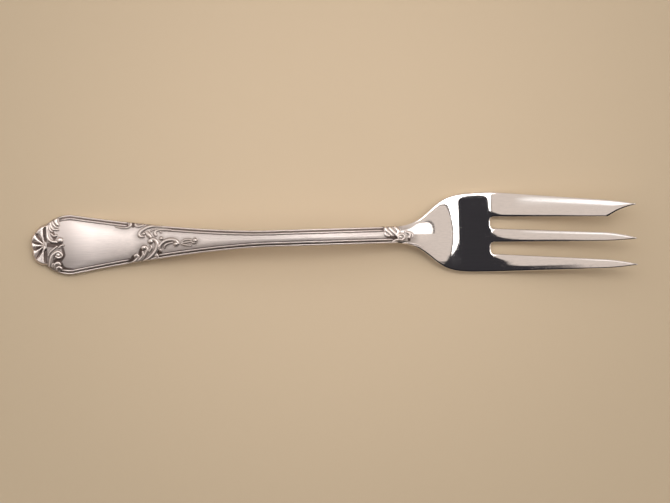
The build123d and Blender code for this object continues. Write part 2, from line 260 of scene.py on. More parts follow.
class ForkForm(bpy.types.PropertyGroup):
    """Sizes of the fork's metal."""

    rest_length: length("Rest length", "Handle end to where the back leaves the table", 0.0115)
    rest_flat: length("Rest flat", "Depth taken off where the back rests", 0.00006)
    arch_height: length("Arch height", "Back above the table at the crest of the stem", 0.0085)
    crest_setback: length("Crest setback", "Neck joint back to the crest", 0.024)
    neck_length: length("Neck length", "Neck joint to the lowest point of the head", 0.02)
    root_setback: length("Root setback", "Lowest point of the head to the roots of the tines", 0.0042)
    tip_rise: length("Tip rise", "Back above the table at the tips", 0.009)
    bowl_softness: length("Bowl softness", "Larger is a rounder bend under the head", 0.007)
    end_thickness: length("End thickness", "Metal at the handle end", 0.0018)
    stem_thickness: length("Stem thickness", "Metal at the crest of the stem", 0.0025)
    neck_thickness: length("Neck thickness", "Metal at the neck joint", 0.0029)
    head_thickness: length("Head thickness", "Metal in the bowl", 0.0019)
    tip_thickness: length("Tip thickness", "Metal at the tips", 0.001)
    panel_crown: length("Panel crown", "Height of the panel's middle above its edges", 0.0006)
    stem_crown: length("Stem crown", "Height of the stem's middle above its edges", 0.0004)
    head_crown: length("Head crown", "Height of the head's middle above its edges", 0.0002)
    edge_drop: length("Edge drop", "Depth of the rounding along every edge", 0.00035)
    soft_crown: length("Soft crown", "Drop of the head's face towards its edges", 0.00005)
    soft_reach: length("Soft reach", "Width over which the head's face drops", 0.0016)
    soft_start: length("Soft start", "Neck joint to where that drop begins", 0.009)
    soft_full: length("Soft full", "Neck joint to where that drop is full", 0.015)
    handle_edge: length("Handle edge", "Width of the rounding along the handle", 0.00035)
    head_edge: length("Head edge", "Width of the rounding along the head and tines", 0.00034)
    panel_peak: length("Panel peak", "Handle end to the widest place of the panel", 0.0106)
    panel_taper: length("Panel taper", "Widest place to where the stem runs parallel", 0.05)
    end_fullness: share("End fullness", "Power of the curve round the handle end", 2.4)
    taper_fullness: share("Taper fullness", "Power of the curve from panel to stem", 1.6)
    stem_half: length("Stem half width", "Half the width of the stem", 0.002175)
    flare_middle: length("Flare middle", "Neck joint to the steepest place of the flare", 0.0088)
    flare_run: length("Flare run", "Softness of the flare from neck to head", 0.0048)
    head_half: length("Head half width", "Half the width of the head at the tine roots", 0.010275)
    tine_shoulder: length("Tine shoulder", "Tips back to the shoulders of the tines", 0.0092)
    cutting_width: length("Cutting tine width", "Width of the cutting tine at its root", 0.00645)
    middle_width: length("Middle tine width", "Width of the middle tine at its root", 0.0036)
    slot_width: length("Slot width", "Width of the slots at their roots", 0.0029)
    shoulders: places_across(
        "Shoulders",
        "Edges of the tines at their shoulders",
        (0.0075, 0.00295, -0.00085, -0.00325, -0.00775, -0.01025),
    )
    tips: places_across("Tips", "Tips of the tines across the fork", (0.00595, -0.00275, -0.00945))
    notch_length: length("Notch length", "Tip of the cutting tine back to its notch", 0.0073)
    notch_entry: share("Notch entry", "Slope of the notch at its start", 0.65)
    notch_slope: share("Notch slope", "Slope of the notch where it runs out", 0.15)
    slot_radius: length("Slot radius", "Rounding of the slots' roots", 0.0009)
    tip_half: length("Tip half width", "Half the width of a tip", 0.00015)
    handle_rows: count_of("Handle rows", "Faces along the handle", 360)
    handle_columns: count_of("Handle columns", "Faces across the handle", 72)
    tine_columns: count_of("Tine columns", "Faces across each tine", 20)
    slot_columns: count_of("Slot columns", "Faces across each slot's root", 6)


class OrnamentForm(bpy.types.PropertyGroup):
    """Sizes of the raised ornament."""

    outer_inset: length("Outer thread inset", "Handle edge to the middle of the outer thread", 0.00025)
    outer_width: length("Outer thread width", "Width of the outer thread", 0.00048)
    inner_inset: length("Inner thread inset", "Handle edge to the middle of the inner thread", 0.001)
    inner_width: length("Inner thread width", "Width of the inner thread", 0.00046)
    thread_height: length("Thread height", "Threads above the face", 0.0002)
    thread_step: length("Thread step", "Length of the faces along a thread", 0.00025)
    thread_taper: length("Thread taper", "Length over which a thread runs out", 0.0012)
    line_swell: share("Line swell", "Widths of the raised lines as a share of those listed", 1.25)
    line_height: length("Line height", "Height that the widest raised lines come near to", 0.00034)
    foot_clear: length("Foot clear", "Keeps the foot of a raised line paler than sunk ground", 0.00012)
    skirt: length("Skirt", "Sunk ground that goes with a raised line", 0.0003)
    lie: length("Lie", "How far the sunk ground lies over the handle's face", 0.000012)
    sink: length("Sink", "How deep a thread's rim lies in the face", 0.00006)
    foot: length("Foot", "How deep a raised piece's underside lies in the metal", 0.0003)
    patch_step: length("Patch step", "Size of the faces of a raised piece", 0.00006)
    shell_lobes: count_of("Shell lobes", "Lobes round the shell's rim", 5)
    scallop_depth: length("Scallop depth", "Depth of the valleys in the shell's rim", 0.00035)
    hub_setback: length("Hub setback", "Shell's joint to the hub of its ribs", 0.0005)
    hub_radius: length("Hub radius", "Radius of the flat hub", 0.0007)
    flute_start: length("Flute start", "Hub to the pointed start of a flute", 0.0009)
    flute_run: length("Flute run", "Start of a flute to where it is widest", 0.0014)
    flute_end: length("Flute end", "Hub to the round end of a flute", 0.0036)
    flute_round: length("Flute rounding", "Length of a flute's round end", 0.0007)
    flute_half: length("Flute half width", "Half the width of a flute at its widest", 0.00045)
    flute_depth: length("Flute depth", "Depth of the flutes between the ribs", 0.0004)
    # The flutes are painted dark both for tarnish and for painted shade in their hollows
    flute_tarnish_and_shade: share("Flute tarnish", "How dark the flutes are", 0.8)
    rib_round: length("Rib rounding", "Drop from the crest of a rib to its sides", 0.00016)
    rim_foot: length("Rim foot", "Height of the bevel under the shell's rim", 0.0005)
    rim_inset: length("Rim inset", "How far the shell's underside stands in from its rim", 0.00035)


class SilverLook(bpy.types.PropertyGroup):
    """Colours of the silver."""

    bright: colour("Bright silver", "Clean satin metal", (0.96, 0.875, 0.84))
    worn: colour("Worn silver", "Crests of the raised ornament", (0.76, 0.68, 0.64))
    patina: colour("Patina", "Dark tarnish in the recesses", (0.115, 0.083, 0.073))
    mirror: colour("Mirror silver", "Polished metal of the head", (0.95, 0.915, 0.895))
    # Painted shade: a faint darkening in the patina's colour, spread round the ornament
    painted_shade: share("Haze", "Strength of the faint tarnish round the ornament", 0.4)
    painted_shade_reach: length("Haze reach", "Foot of a raised line to the end of the faint tarnish", 0.0022)
    # Painted shade: the panel is painted darker towards the shell end, full up to end_near and gone by
    # end_far
    end_painted_shade: share("End haze", "Strength of the faint tarnish at the panel's end", 0.5)
    end_near: length("End haze near", "Shell's joint to where the end's tarnish fades", 0.003)
    end_far: length("End haze far", "Shell's joint to the end of that tarnish", 0.0125)


class StageLook(bpy.types.PropertyGroup):
    """Table, light and camera."""

    paper: colour("Paper", "Colour of the table", (0.62, 0.497, 0.353))
    # Painted shade on the table: away from its palest place the paper fades to this darker colour
    paper_painted_shade: colour("Paper rim", "Colour of the table away from its middle", (0.461, 0.373, 0.262))
    # Palest place and reach of the painted pool of light on the table
    tone_x: length("Tone X", "Palest place of the table along the fork", 0.001)
    tone_y: length("Tone Y", "Palest place of the table across the fork", 0.027)
    tone_near: length("Tone near", "Palest place to where the table darkens", 0.01)
    tone_far: length("Tone far", "Palest place to where the table is darkest", 0.135)
    table_size: length("Table size", "Side of the square table", 4.0)
    key_strength: FloatProperty(
        name="Key", description="Power of the soft light", default=6.4, unit="POWER"
    )
    key_size: length("Key size", "Side of the soft light", 2.0)
    key_height: length("Key height", "Soft light above the table", 1.2)
    key_setback: length("Key setback", "Soft light behind the fork", 0.3)
    sky_strength: share("Sky strength", "Brightness of the studio around the table", 1.0)
    walls: colour("Walls", "Pale walls and ceiling of the studio", (0.675, 0.59, 0.53))
    cards: colour("Cards", "White cards over the table", (4.7, 4.58, 4.48))
    far_card: colour("Far card", "White card beyond the handle", (1.3, 1.27, 1.24))
    lamp: colour("Lamp", "Bright lamp beyond the tines", (2.2, 2.15, 2.1))
    hood: colour("Hood", "Dark hood between the cards", (0.035, 0.033, 0.037))
    seam: colour("Seam", "Thin shadow at the edges of the cards", (0.16, 0.14, 0.13))
    lens: FloatProperty(
        name="Lens", description="Focal length in millimetres", default=600.0, unit="CAMERA"
    )
    view_width: length("View width", "Width of the table that the picture shows", 0.1715)
    view_x: length("View X", "Middle of the picture along the fork", 0.0003)
    view_y: length("View Y", "Middle of the picture across the fork", -0.0038)
    view_turn: FloatProperty(
        name="Turn", description="Turn of the fork in the picture", default=radians(1.767), subtype="ANGLE"
    )


def form():
    """The fork's sizes."""
    return bpy.context.scene.fork_form


def x_root():
    """Roots of the tines."""
    return X_NECK + form().neck_length + form().root_setback


def eased(x, *stations):
    """Value at x between (place, value) stations, level at every station."""
    spots = np.array([spot for spot, value in stations])
    values = np.array([value for spot, value in stations])
    start = np.clip(np.searchsorted(spots, x) - 1, 0, len(spots) - 2)
    part = np.clip((x - spots[start]) / (spots[start + 1] - spots[start]), 0, 1)
    return values[start] + (values[start + 1] - values[start]) * (1 - np.cos(pi * part)) / 2


def back(x):
    """Height of the fork's back, a little under the table where it rests."""
    f = form()
    x_rest = X_END + f.rest_length
    x_crest = X_NECK - f.crest_setback
    x_bowl = X_NECK + f.neck_length
    arch = eased(x, (x_rest, 0.0), (x_crest, f.arch_height), (x_bowl, 0.0))
    reach = np.maximum(x - x_bowl, 0) / f.bowl_softness
    full = np.sqrt(1 + ((X_TIP - x_bowl) / f.bowl_softness) ** 2) - 1
    return arch + f.tip_rise * (np.sqrt(1 + reach**2) - 1) / full - f.rest_flat


def thickness(x):
    """Thickness of the metal at its edges."""
    f = form()
    return eased(
        x,
        (X_END, f.end_thickness),
        (X_NECK - f.crest_setback, f.stem_thickness),
        (X_NECK, f.neck_thickness),
        (X_NECK + f.neck_length, f.head_thickness),
        (x_root(), f.head_thickness),
        (X_TIP, f.tip_thickness),
    )


def crown(x):
    """How much higher the face stands in the middle than at its edges."""
    f = form()
    x_stem = X_END + f.panel_peak + f.panel_taper
    return eased(
        x,
        (X_END, f.panel_crown),
        (x_stem, f.stem_crown),
        (X_NECK, f.stem_crown),
        (X_NECK + f.neck_length, f.head_crown),
        (X_TIP, f.head_crown),
    )


def half_width(x):
    """Half the width of the handle, and of the neck and head beyond it."""
    f = form()
    x_peak = X_END + f.panel_peak
    before = np.maximum((x_peak - x) / f.panel_peak, 0)
    after = np.clip(1 - (x - x_peak) / f.panel_taper, 0, 1)
    end = PANEL_HALF * (1 - before**f.end_fullness)
    stem = f.stem_half + (PANEL_HALF - f.stem_half) * after**f.taper_fullness
    start = np.tanh(-f.flare_middle / f.flare_run)
    rise = (np.tanh((x - X_NECK - f.flare_middle) / f.flare_run) - start) / (1 - start)
    flare = f.stem_half + (f.head_half - f.stem_half) * np.maximum(rise, 0)
    return np.where(x < x_peak, end, np.where(x < X_NECK, stem, flare))


def face_height(x, y):
    """Height of the crowned face, without its rounded edges."""
    across = np.clip(np.abs(y) / half_width(x), 0, 1)
    return back(x) + thickness(x) + crown(x) * (1 - across**2)


def rounding(gap, width):
    """Drop of an edge's rounding at a distance from the edge."""
    inside = np.clip(1 - gap / width, 0, 1)
    return form().edge_drop * (1 - np.sqrt(1 - inside**2))


def smooth_line(points, widths):
    """Close points on a smooth curve through the given ones, in metres, and the width at each."""
    steps = 14
    widths = np.array(widths) * bpy.context.scene.fork_ornament.line_swell
    given = np.array(points) * MM + (X_END, 0)
    if len(given) == 1:
        return given, widths * MM
    ends = np.vstack((2 * given[0] - given[1], given, 2 * given[-1] - given[-2]))
    t = np.linspace(0, 1, steps, endpoint=False)[:, None]
    runs = []
    for a, b, c, d in zip(ends, ends[1:], ends[2:], ends[3:]):
        start = 2 * b + (c - a) * t
        runs.append((start + (2 * a - 5 * b + 4 * c - d) * t**2 + (3 * b - a - 3 * c + d) * t**3) / 2)
    line = np.vstack(runs + [given[-1:]])
    at = np.linspace(0, 1, len(line))
    return line, np.interp(at, np.linspace(0, 1, len(widths)), widths) * MM


def nearest_on_line(x, y, line, widths):
    """Distance from each point to a line, and the line's half width there."""
    apart = np.hypot(x[:, None] - line[:, 0], y[:, None] - line[:, 1])
    nearest = apart.argmin(axis=1)
    return apart[np.arange(len(x)), nearest], widths[nearest] / 2


def relief(x, y, lines):
    """Height of the raised lines above the face, and that height as a share of the line's own."""
    o = bpy.context.scene.fork_ornament
    lift = np.zeros_like(x)
    rise = np.zeros_like(x)
    for points, widths in lines:
        apart, half = nearest_on_line(x, y, *smooth_line(points, widths))
        bulge = np.sqrt(1 - np.clip(apart / half, 0, 1) ** 2)
        lift = np.maximum(lift, o.line_height * (1 - np.exp(-half / o.line_height)) * bulge)
        rise = np.maximum(rise, bulge)
    return lift, rise


def gap_to_lines(x, y, lines):
    """Distance from each point to the foot of the nearest of the lines."""
    gap = np.full_like(x, FAR)
    for points, widths in lines:
        apart, half = nearest_on_line(x, y, *smooth_line(points, widths))
        gap = np.minimum(gap, np.maximum(apart - half, 0))
    return gap


def ornament_gap(x, y):
    """Distance from each point to the nearest sunk ground, groove of threads or foot of a raised line."""
    o = bpy.context.scene.fork_ornament
    gap = gap_to_lines(x, y, GROUND_LINES)
    for lines in ORNAMENTS.values():
        gap = np.minimum(gap, gap_to_lines(x, y, lines) + o.foot_clear)
    inset = half_width(x) - np.abs(y)
    groove = (o.outer_inset + o.inner_inset) / 2
    groove_half = o.inner_inset - groove + o.inner_width / 2
    for side, _, (start, end) in THREADS.values():
        beyond = np.maximum(np.maximum(X_END + start * MM - x, x - X_END - end * MM), 0)
        beside = np.maximum(np.abs(inset - groove) - groove_half, 0)
        gap = np.where(side * y > 0, np.minimum(gap, np.hypot(beside, beyond)), gap)
    return gap


def new_bmesh(*marks):
    """An empty bmesh that stores the named numbers on its vertices."""
    bm = bmesh.new()
    for name in marks:
        bm.verts.layers.float.new(name)
    return bm


def grid_sheet(bm, rows, columns):
    """A sheet of faces with the row and column of each of its vertices."""
    verts = bmesh.ops.create_grid(bm, x_segments=rows, y_segments=columns, size=1)["verts"]
    flat = np.array([vert.co[:2] for vert in verts])
    part = (flat - flat.min(axis=0)) / (flat.max(axis=0) - flat.min(axis=0))
    return verts, np.rint(part[:, 0] * rows).astype(int), np.rint(part[:, 1] * columns).astype(int)


def place(verts, x, y, z):
    """Move vertices to the given places."""
    for vert, spot in zip(verts, np.stack((x, y, z), axis=1)):
        vert.co = spot


def places(verts):
    """Places of vertices as three arrays."""
    return np.array([vert.co for vert in verts]).T


def mark(bm, verts, name, values):
    """Store a number on each vertex for the material to read."""
    layer = bm.verts.layers.float[name]
    for vert, value in zip(verts, values):
        vert[layer] = value


def add_underside(bm, faces):
    """Copy a sheet of faces, join the copy to it with walls, and return the copy's vertices."""
    made = bmesh.ops.extrude_face_region(bm, geom=faces, use_keep_orig=True)["geom"]
    return [item for item in made if isinstance(item, bmesh.types.BMVert)]


def add_foot(bm, faces):
    """Close a raised piece with an underside that lies in the fork's metal."""
    under = add_underside(bm, faces)
    x, y, _ = places(under)
    place(under, x, y, face_height(x, y) - bpy.context.scene.fork_ornament.foot)


def add_object(name, data):
    """A new object in the scene."""
    made = bpy.data.objects.new(name, data)
    bpy.context.scene.collection.objects.link(made)
    return made


def add_mesh(bm, name, material):
    """A new object in the scene from a bmesh, which it uses up."""
    mesh = bpy.data.meshes.new(name)
    bm.to_mesh(mesh)
    bm.free()
    mesh.materials.append(material)
    return add_object(name, mesh)


def finish_piece(bm, name, nodes, material):
    """Turn a bmesh into a finished piece that rides on the fork and stands for its nodes."""
    bmesh.ops.recalc_face_normals(bm, faces=bm.faces)
    for face in bm.faces:
        face.smooth = True
    piece = add_mesh(bm, name, material)
    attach(piece, "root")
    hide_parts(*nodes)


def node_material(name):
    """A node material with its shader, which is the frame's own where that has one of the name."""
    material = bpy.data.materials.get(name) or bpy.data.materials.new(name)
    material.use_nodes = True
    tree = material.node_tree
    return material, tree, tree.nodes["Principled BSDF"]


def feed(tree, socket, value):
    """Link a socket to another node's socket, or set it to a plain value."""
    if isinstance(value, bpy.types.NodeSocket):
        tree.links.new(value, socket)
    else:
        socket.default_value = value


def add_node(tree, kind, **values):
    """A node with its inputs fed by name, and its own settings where no input has that name."""
    node = tree.nodes.new(kind)
    for name, value in values.items():
        key = name.replace("_", " ")
        if key in node.inputs:
            feed(tree, node.inputs[key], value)
        else:
            setattr(node, name, value)
    return node


def object_place(tree):
    """Place on the object, which sits at the origin."""
    return add_node(tree, "ShaderNodeTexCoord").outputs["Object"]


def toned(tint, tone):
    """A colour made lighter or darker."""
    return tuple(tone * part for part in tint)


def map_range(tree, value, span, results):
    """A smooth step from one result to another while a value crosses its span."""
    low, high = span
    first, last = results
    node = add_node(
        tree,
        "ShaderNodeMapRange",
        interpolation_type="SMOOTHSTEP",
        Value=value,
        From_Min=low,
        From_Max=high,
        To_Min=first,
        To_Max=last,
    )
    return node.outputs["Result"]


def mix_colour(tree, factor, first, second):
    """A mix of two colours, each a plain colour or a socket."""
    node = add_node(tree, "ShaderNodeMix", data_type="RGBA", clamp_factor=True)
    feed(tree, node.inputs[MIX_FACTOR], factor)
    for number, value in ((MIX_FIRST, first), (MIX_SECOND, second)):
        plain = not isinstance(value, bpy.types.NodeSocket)
        feed(tree, node.inputs[number], (*value, 1.0) if plain else value)
    return node.outputs[MIX_RESULT]


def drawn_noise(tree, along, across, detail):
    """Noise drawn out along the fork, as brushing and polishing leave it."""
    mapping = add_node(
        tree, "ShaderNodeMapping", Vector=object_place(tree), Scale=(along, across, across)
    ).outputs["Vector"]
    return add_node(tree, "ShaderNodeTexNoise", Vector=mapping, Scale=1.0, Detail=detail).outputs["Fac"]


def add_bump(tree, shader, height, strength, distance):
    """Bump on a shader from a height."""
    bump = add_node(tree, "ShaderNodeBump", Height=height, Strength=strength, Distance=distance)
    feed(tree, shader.inputs["Normal"], bump.outputs["Normal"])


def calc(tree, operation, *values):
    """Result of a maths node on sockets or plain numbers."""
    node = add_node(tree, "ShaderNodeMath", operation=operation)
    for socket, value in zip(node.inputs, values):
        feed(tree, socket, value)
    return node.outputs["Value"]


def attribute(tree, name):
    """A number that the mesh stores on its vertices."""
    return add_node(tree, "ShaderNodeAttribute", attribute_name=name).outputs["Fac"]


def tarnish(tree, clean, reach):
    """Clean metal that tarnishes beside raised ornament and stays clean on its crests, with fainter painted
    shade spread round the ornament and towards the panel's end.
    """
    look = bpy.context.scene.fork_silver
    cloud_span = (0.3, 0.7)
    flank_span = (0.15, 0.58)
    darkest = 0.97
    cloudy = drawn_noise(tree, along=700.0, across=900.0, detail=4.0)
    cloudy_reach = map_range(tree, cloudy, cloud_span, reach)
    gap = attribute(tree, "ornament_gap")
    dull = map_range(tree, attribute(tree, "rise"), flank_span, FALL)
    close = map_range(tree, calc(tree, "DIVIDE", gap, cloudy_reach), RISE, (darkest, 0.0))
    # Painted shade round the ornament, fading out over its reach
    painted_shade = map_range(tree, gap, (0.0, look.painted_shade_reach), (look.painted_shade, 0.0))
    along = add_node(tree, "ShaderNodeSeparateXYZ", Vector=object_place(tree)).outputs["X"]
    # Painted shade over the panel near the shell end
    end_span = (X_SHELL + look.end_near, X_SHELL + look.end_far)
    painted_shade = calc(tree, "MAXIMUM", painted_shade, map_range(tree, along, end_span, (look.end_painted_shade, 0.0)))
    dark = product(tree, calc(tree, "MAXIMUM", close, painted_shade), dull)
    return mix_colour(tree, dark, clean, look.patina)


def silver(name, metal, noise, grain_span, tones, reach, gloss_span, roughness, bump):
    """Silver with a fine grain in its colour and gloss, dark beside raised ornament, made only once."""
    grain_depth = 0.01 * MM
    material, tree, shader = node_material(name)
    if shader.inputs["Base Color"].is_linked:
        return material
    lines = drawn_noise(tree, **noise)
    grain = map_range(tree, lines, grain_span, RISE)
    clean = mix_colour(tree, grain, *(toned(metal, tone) for tone in tones))
    feed(tree, shader.inputs["Base Color"], tarnish(tree, clean, reach))
    feed(tree, shader.inputs["Roughness"], map_range(tree, lines, gloss_span, roughness))
    feed(tree, shader.inputs["Metallic"], 1.0)
    add_bump(tree, shader, lines, bump, grain_depth)
    return material


def satin_silver():
    """Brushed silver that darkens close to the raised ornament."""
    return silver(
        "satin_silver",
        bpy.context.scene.fork_silver.bright,
        noise={"along": 130.0, "across": 5200.0, "detail": 3.0},
        grain_span=(0.25, 0.75),
        tones=(0.89, 1.0),
        reach=(0.36 * MM, 0.6 * MM),
        gloss_span=(0.2, 0.8),
        roughness=(0.4, 0.5),
        bump=0.2,
    )


def polished_silver():
    """Mirror silver with fine polishing lines."""
    return silver(
        "polished_silver",
        bpy.context.scene.fork_silver.mirror,
        noise={"along": 70.0, "across": 3200.0, "detail": 5.0},
        grain_span=(0.35, 0.7),
        tones=(1.0, 0.96),
        reach=(0.2 * MM, 0.3 * MM),
        gloss_span=(0.4, 0.75),
        roughness=(0.02, 0.08),
        bump=0.01,
    )


def ornament_silver(bright):
    """Raised silver, clean on its crests and dark at its foot, either bright or worn."""
    look = bpy.context.scene.fork_silver
    return silver(
        "bright_ornament_silver" if bright else "ornament_silver",
        look.bright if bright else look.worn,
        noise={"along": 900.0, "across": 900.0, "detail": 3.0},
        grain_span=(0.3, 0.7),
        tones=(0.9, 1.0),
        reach=(0.36 * MM, 0.6 * MM),
        gloss_span=(0.3, 0.7),
        roughness=(0.3, 0.4),
        bump=0.05,
    )


def tan_paper():
    """Matt paper with a painted pool of light: palest a little behind the fork, darker away from it."""
    look = bpy.context.scene.fork_stage
    fibre_scale, fibre_depth, mottle = 2600.0, 0.05 * MM, 0.12
    material, tree, shader = node_material("tan_paper")
    spot = object_place(tree)
    away = add_node(tree, "ShaderNodeVectorMath", operation="DISTANCE")
    for socket, end in zip(away.inputs, (spot, (look.tone_x, look.tone_y, 0.0))):
        feed(tree, socket, end)
    fibre = add_node(tree, "ShaderNodeTexNoise", Vector=spot, Scale=fibre_scale, Detail=4.0).outputs["Fac"]
    # Painted light falloff: the table darkens away from its palest place, with a faint random mottle on top
    spread = map_range(tree, away.outputs["Value"], (look.tone_near, look.tone_far), RISE)
    mottle_and_painted_light = calc(tree, "MULTIPLY_ADD", fibre, mottle, calc(tree, "SUBTRACT", spread, mottle / 2))
    feed(tree, shader.inputs["Base Color"], mix_colour(tree, mottle_and_painted_light, look.paper, look.paper_painted_shade))
    feed(tree, shader.inputs["Roughness"], 0.9)
    feed(tree, shader.inputs["Specular IOR Level"], 0.1)
    add_bump(tree, shader, fibre, strength=0.1, distance=fibre_depth)
    return material


class FORK_OT_handle(bpy.types.Operator):
    """Make the handle: a crowned panel that tapers into the stem"""

    bl_idname = "fork.handle"
    bl_label = "Handle"

    def execute(self, context):
        f = form()
        edge_crowding = 0.88
        bm = new_bmesh("ornament_gap")
        verts, rows, columns = grid_sheet(bm, f.handle_rows, f.handle_columns)
        sheet = list(bm.faces)
        x = X_SHELL + (X_NECK - X_SHELL) * rows / f.handle_rows
        spread = edge_crowding * pi / 2
        y = half_width(x) * np.sin(spread * (2 * columns / f.handle_columns - 1)) / np.sin(spread)
        drop = rounding(half_width(x) - np.abs(y), f.handle_edge)
        place(verts, x, y, face_height(x, y) - drop)
        mark(bm, verts, "ornament_gap", ornament_gap(x, y))
        under = add_underside(bm, sheet)
        x, y, _ = places(under)
        drop = rounding(half_width(x) - np.abs(y), f.handle_edge)
        place(under, x, y, np.maximum(back(x), 0) + drop)
        mark(bm, under, "ornament_gap", np.full_like(x, FAR))
        finish_piece(bm, "fork_handle", ["handle"], satin_silver())
        return {"FINISHED"}


def tine_edges(x):
    """Edges of the three tines across the fork, from the cutting tine's outer edge to the last."""
    f = form()
    cutting = f.head_half - f.cutting_width
    middle = cutting - f.slot_width - f.middle_width
    roots = (f.head_half, cutting, cutting - f.slot_width, middle, middle - f.slot_width, -f.head_half)
    tips = [tip + side * f.tip_half for tip in f.tips for side in (1, -1)]
    toward_slot = (0, -1, 1, -1, 1, 0)
    notched_edge = 1
    fillet_part = np.clip((x - x_root()) / f.slot_radius, 0, 1)
    fillet = f.slot_radius * (1 - np.sqrt(1 - (1 - fillet_part) ** 2))
    widening = np.where(x < x_root(), half_width(x) / f.head_half, 1.0)
    edges = []
    for number, (root, shoulder, tip) in enumerate(zip(roots, f.shoulders, tips)):
        notched = number == notched_edge
        bend = f.notch_length if notched else f.tine_shoulder
        x_bend = X_TIP - bend
        run = (shoulder - root) / (x_bend - x_root())
        entry = f.notch_entry if notched else run
        end = f.notch_slope if notched else 2 * (tip - shoulder) / bend - run
        part = np.clip((x - x_bend) / bend, 0, 1)
        curve = (
            (2 * part**3 - 3 * part**2 + 1) * shoulder
            + (part**3 - 2 * part**2 + part) * bend * entry
            + (3 * part**2 - 2 * part**3) * tip
            + (part**3 - part**2) * bend * end
        )
        straight = root + run * np.maximum(x - x_root(), 0) + toward_slot[number] * fillet
        edges.append(np.where(x < x_bend, straight, curve) * widening)
    return edges


def head_rows():
    """Places of the head's rows along the fork, closer together at the roots of the slots."""
    f = form()
    neck_rows, fillet_rows, tine_rows = 64, 9, 104
    neck_gap, tine_gap = 1.8 * MM, 0.25 * MM
    nearing = np.array([1.4, 1.0, 0.7, 0.48, 0.3, 0.17, 0.07]) * MM
    neck = np.linspace(X_NECK, x_root() - neck_gap, neck_rows)
    fillet = x_root() + f.slot_radius * (1 - np.cos(np.linspace(0, pi / 2, fillet_rows)))
    tines = np.linspace(x_root() + f.slot_radius + tine_gap, X_TIP, tine_rows)
    return np.concatenate((neck, x_root() - nearing, fillet, tines))


def head_columns():
    """Lane and place within the lane of each column of the head, and the slots' column numbers."""
    f = form()
    kinds = ("tine", "slot", "tine", "slot", "tine")
    lanes, parts, slots = [], [], []
    for lane, kind in enumerate(kinds):
        count = f.slot_columns if kind == "slot" else f.tine_columns
        step_part = np.arange(count) / count
        if kind == "slot":
            slots.append((len(lanes), len(lanes) + count))
        lanes += [lane] * count
        parts += list(step_part if kind == "slot" else (1 - np.cos(pi * step_part)) / 2)
    return np.array(lanes + [len(kinds) - 1]), np.array(parts + [1.0]), slots


def cut_slots(bm, rows, columns, root_row, slots):
    """Delete the head's faces that lie in the open slots."""
    bm.verts.index_update()
    open_faces = []
    for face in bm.faces:
        at = [vert.index for vert in face.verts]
        first, last = columns[at].min(), columns[at].max()
        if rows[at].min() >= root_row and any(low <= first and last <= high for low, high in slots):
            open_faces.append(face)
    bmesh.ops.delete(bm, geom=open_faces, context="FACES")


def gap_to_edges(verts, edges):
    """Distance in plan from each vertex to the nearest of the edges."""
    x, y, _ = places(verts)
    gap = np.full_like(x, FAR)
    for edge in edges:
        a, b = (np.array(vert.co[:2]) for vert in edge.verts)
        run = b - a
        part = np.clip(((x - a[0]) * run[0] + (y - a[1]) * run[1]) / (run @ run), 0, 1)
        gap = np.minimum(gap, np.hypot(x - a[0] - part * run[0], y - a[1] - part * run[1]))
    return gap


class FORK_OT_head(bpy.types.Operator):
    """Make the head: neck, shoulders and three tines in one polished piece"""

    bl_idname = "fork.head"
    bl_label = "Head"

    def execute(self, context):
        f = form()
        joint_clear = 0.01 * MM
        stations = head_rows()
        lanes, parts, slots = head_columns()
        bm = new_bmesh("ornament_gap", "edge_gap")
        verts, rows, columns = grid_sheet(bm, len(stations) - 1, len(lanes) - 1)
        x = stations[rows]
        edges = np.array(tine_edges(x))
        number = np.arange(len(x))
        lane, part = lanes[columns], parts[columns]
        y = edges[lane, number] * (1 - part) + edges[lane + 1, number] * part
        place(verts, x, y, np.zeros_like(x))
        cut_slots(bm, rows, columns, np.argmin(np.abs(stations - x_root())), slots)
        sheet = list(bm.faces)
        verts = list(bm.verts)
        outline = [
            edge
            for edge in bm.edges
            if edge.is_boundary and max(vert.co.x for vert in edge.verts) > X_NECK + joint_clear
        ]
        gap = gap_to_edges(verts, outline)
        x, y, _ = places(verts)
        softness = eased(x, (X_NECK + f.soft_start, 0.0), (X_NECK + f.soft_full, f.soft_crown))
        soft_drop = softness * np.clip(1 - gap / f.soft_reach, 0, 1) ** 2
        place(verts, x, y, face_height(x, y) - rounding(gap, f.head_edge) - soft_drop)
        mark(bm, verts, "ornament_gap", ornament_gap(x, y))
        mark(bm, verts, "edge_gap", gap)
        under = add_underside(bm, sheet)
        layer = bm.verts.layers.float["edge_gap"]
        gap = np.array([vert[layer] for vert in under])
        x, y, _ = places(under)
        place(under, x, y, np.maximum(back(x), 0) + rounding(gap, f.head_edge))
        mark(bm, under, "ornament_gap", np.full_like(x, FAR))
        finish_piece(bm, "fork_head_polished", ["fork_head"], polished_silver())
        return {"FINISHED"}


class FORK_OT_threads(bpy.types.Operator):
    """Make the double threads along both edges of the panel and the stem"""

    bl_idname = "fork.threads"
    bl_label = "Threads"

    def execute(self, context):
        o = context.scene.fork_ornament
        across, least_taper = 10, 0.02
        for node, (side, outer, inner) in THREADS.items():
            bm = new_bmesh("rise", "ornament_gap")
            for (start, end), inset, width in (
                (outer, o.outer_inset, o.outer_width),
                (inner, o.inner_inset, o.inner_width),
            ):
                before = set(bm.faces)
                count = int((end - start) * MM / o.thread_step)
                verts, rows, columns = grid_sheet(bm, count, across)
                x = X_END + (start + (end - start) * rows / count) * MM
                turn = pi * columns / across
                from_end = np.minimum(rows, count - rows) * o.thread_step
                taper = np.sqrt(np.clip(from_end / o.thread_taper, least_taper, 1))
                y = side * (half_width(x) - inset + width / 2 * np.cos(turn) * taper)
                rise = np.sin(turn)
                height = (o.thread_height + o.sink) * rise * taper
                place(verts, x, y, face_height(x, y) - o.sink + height)
                mark(bm, verts, "rise", rise * taper)
                mark(bm, verts, "ornament_gap", ornament_gap(x, y))
                add_foot(bm, [face for face in bm.faces if face not in before])
            finish_piece(bm, "silver_" + node, [node], ornament_silver(bright=True))
        return {"FINISHED"}


